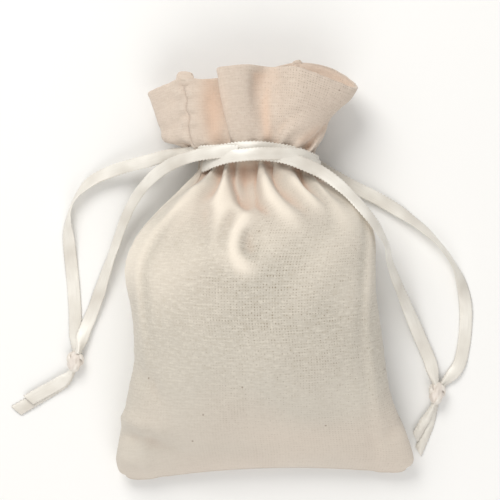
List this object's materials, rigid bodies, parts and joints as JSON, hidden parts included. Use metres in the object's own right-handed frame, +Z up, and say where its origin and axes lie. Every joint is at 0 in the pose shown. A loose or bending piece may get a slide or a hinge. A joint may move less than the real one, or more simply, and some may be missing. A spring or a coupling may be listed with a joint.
{
  "type": "drawstring gift sack",
  "caption": "Small cotton drawstring sack lying on its back, neck gathered by two satin ribbons, each knotted at one side, with an open ruffled mouth.",
  "frame": {"origin": "centre of the sack's own bounding box in X and Y (loose ribbons left out), on the surface it lies on", "axes": "+X across the sack, +Y from its bottom seam to its mouth, +Z up from the surface it lies on"},
  "size_m": [0.1106, 0.0994, 0.03],
  "materials": {
    "muslin": "plain woven, matt",
    "thread": "spun thread, matt",
    "ribbon": "satin"
  },
  "bodies": {
    "sack": {"front_panel": "muslin", "back_panel": "muslin", "front_hem_facing": "muslin", "back_hem_facing": "muslin", "left_seam_allowance": "muslin", "right_seam_allowance": "muslin", "bottom_seam_allowance": "muslin", "left_seam_tab": "muslin", "right_seam_tab": "muslin", "left_side_stitching": "thread", "right_side_stitching": "thread", "bottom_stitching": "thread", "front_hem_stitching": "thread", "back_hem_stitching": "thread", "left_ribbon_neck_turn": "ribbon", "right_ribbon_neck_turn": "ribbon"},
    "left_drawstring": {"left_ribbon_front_strand": "ribbon", "left_ribbon_back_strand": "ribbon", "left_knot": "ribbon", "left_front_tail": "ribbon", "left_back_tail": "ribbon"},
    "right_drawstring": {"right_ribbon_front_strand": "ribbon", "right_ribbon_back_strand": "ribbon", "right_knot": "ribbon", "right_front_tail": "ribbon", "right_back_tail": "ribbon"}
  },
  "joints": [
    {"name": "left_drawstring_pull", "type": "slide", "parent": "sack", "child": "left_drawstring", "axis": [-1, 0, 0], "range_m": [0, 0.008]},
    {"name": "right_drawstring_pull", "type": "slide", "parent": "sack", "child": "right_drawstring", "axis": [1, 0, 0], "range_m": [0, 0.008]}
  ]
}
